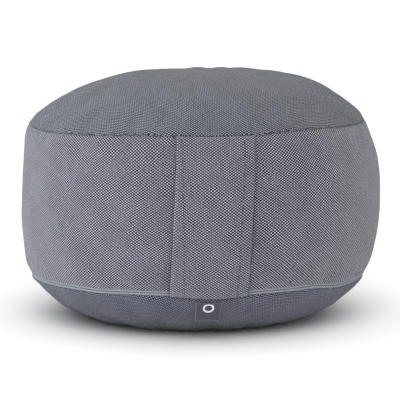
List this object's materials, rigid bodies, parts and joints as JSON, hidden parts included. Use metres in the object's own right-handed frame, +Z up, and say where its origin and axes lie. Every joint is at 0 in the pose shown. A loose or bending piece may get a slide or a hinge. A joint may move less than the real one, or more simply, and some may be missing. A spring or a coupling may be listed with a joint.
{
  "type": "floor cushion",
  "caption": "Round floor cushion with a bulging side band, a wide carrying handle sewn across it, a zip above the base seam and a zipped liner full of husks.",
  "frame": {"origin": "middle of the patch that the cushion stands on", "axes": "+Z up, out of the seat; -Y out through the middle of the carrying handle"},
  "size_m": [0.34, 0.3491, 0.231],
  "materials": {
    "cover_cloth": "two-tone basket weave, dark navy and pale grey yarns, matt",
    "handle_cloth": "the cover's weave, turned along the strap",
    "zip_tape": "fine blue-grey woven tape",
    "zip_coil": "grey nylon coil, satin",
    "zip_metal": "grey enamel, satin",
    "label_cloth": null,
    "liner_cloth": "plain undyed cotton",
    "liner_zip": "off-white nylon zip",
    "husk": "loose dry husks"
  },
  "bodies": {
    "cushion": {"top_panel": "cover_cloth", "side_band": "cover_cloth", "base_panel": "cover_cloth", "carry_handle": "handle_cloth", "woven_label": "label_cloth", "cover_zip_tape_upper": "zip_tape", "cover_zip_tape_lower": "zip_tape", "cover_zip_coil_upper": "zip_coil", "cover_zip_coil_lower": "zip_coil", "cover_zip_top_stop_upper": "zip_metal", "cover_zip_top_stop_lower": "zip_metal", "cover_zip_end_stop": "zip_metal", "liner_top_panel": "liner_cloth", "liner_side_band": "liner_cloth", "liner_base_panel": "liner_cloth", "liner_zip_tape_upper": "liner_cloth", "liner_zip_tape_lower": "liner_cloth", "liner_zip_coil_upper": "liner_zip", "liner_zip_coil_lower": "liner_zip", "liner_zip_top_stop_upper": "zip_metal", "liner_zip_top_stop_lower": "zip_metal", "liner_zip_end_stop": "zip_metal", "hull_filling": "husk"},
    "cover_slider": {"cover_zip_slider": "zip_metal"},
    "cover_pull": {"cover_zip_pull": "zip_metal"},
    "liner_slider": {"liner_zip_slider": "zip_metal"}
  },
  "joints": [
    {"name": "cover_zip_travel", "type": "hinge", "parent": "cushion", "child": "cover_slider", "pos_m": [0, 0, 0.045], "axis": [0, 0, -1], "range_deg": [0, 332]},
    {"name": "cover_pull_flip", "type": "hinge", "parent": "cover_slider", "child": "cover_pull", "pos_m": [0.03916, 0.15707, 0.04488], "axis": [0.0648, 0.26, 0.9634], "range_deg": [0, 176]},
    {"name": "liner_zip_travel", "type": "hinge", "parent": "cushion", "child": "liner_slider", "pos_m": [0, 0, 0.1065], "axis": [0, 0, -1], "range_deg": [0, 101]}
  ]
}
